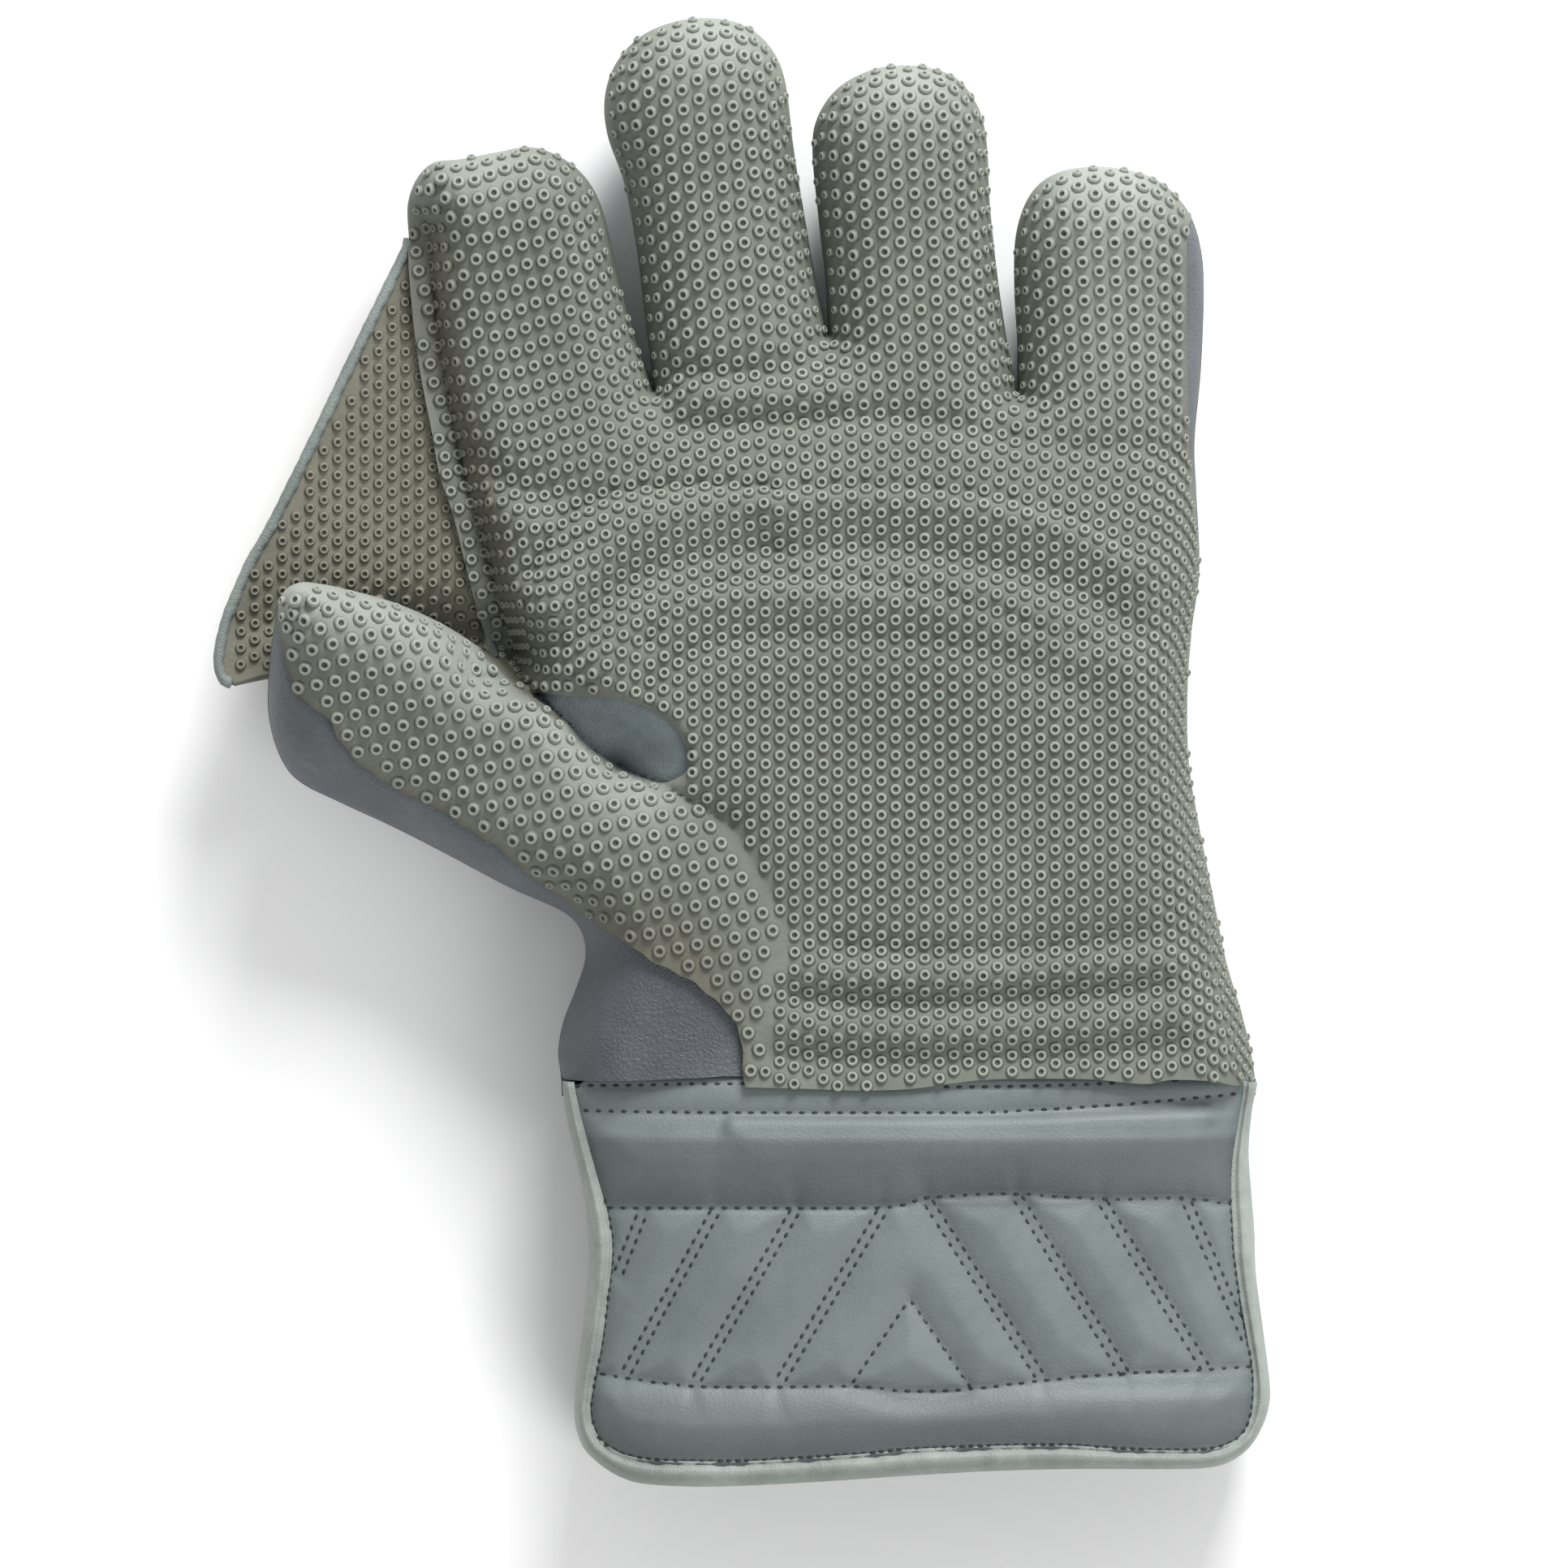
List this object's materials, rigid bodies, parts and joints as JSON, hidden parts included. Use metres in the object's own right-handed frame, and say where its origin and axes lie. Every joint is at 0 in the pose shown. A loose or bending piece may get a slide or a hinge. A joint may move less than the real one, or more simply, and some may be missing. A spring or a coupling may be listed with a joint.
{
  "type": "wicketkeeping glove",
  "caption": "Hollow leather keeping glove with pimpled rubber palm, webbed thumb and quilted padded cuff, lying palm up.",
  "frame": {"origin": "middle of the underside's box, on the surface that the glove lies on", "axes": "+Y to the fingertips, +X to the little finger's side, +Z out of the palm, away from the surface"},
  "size_m": [0.2232, 0.3102, 0.0538],
  "materials": {
    "facing": "matte pimpled rubber, pale grey-green",
    "leather": "soft blue-grey leather, fine grain",
    "cuff_leather": "smooth padded leather, soft sheen",
    "binding": "pale rolled leather binding, soft sheen"
  },
  "bodies": {
    "root": {"palm_facing": "facing", "hand_back": "leather", "thumb_leather": "leather", "thumb_base": "leather", "fork_gusset": "leather", "web_panel": "facing", "web_binding": "binding", "cuff_front": "cuff_leather", "cuff_back": "cuff_leather", "cuff_binding_front": "binding", "cuff_binding_back": "binding"}
  },
  "joints": []
}
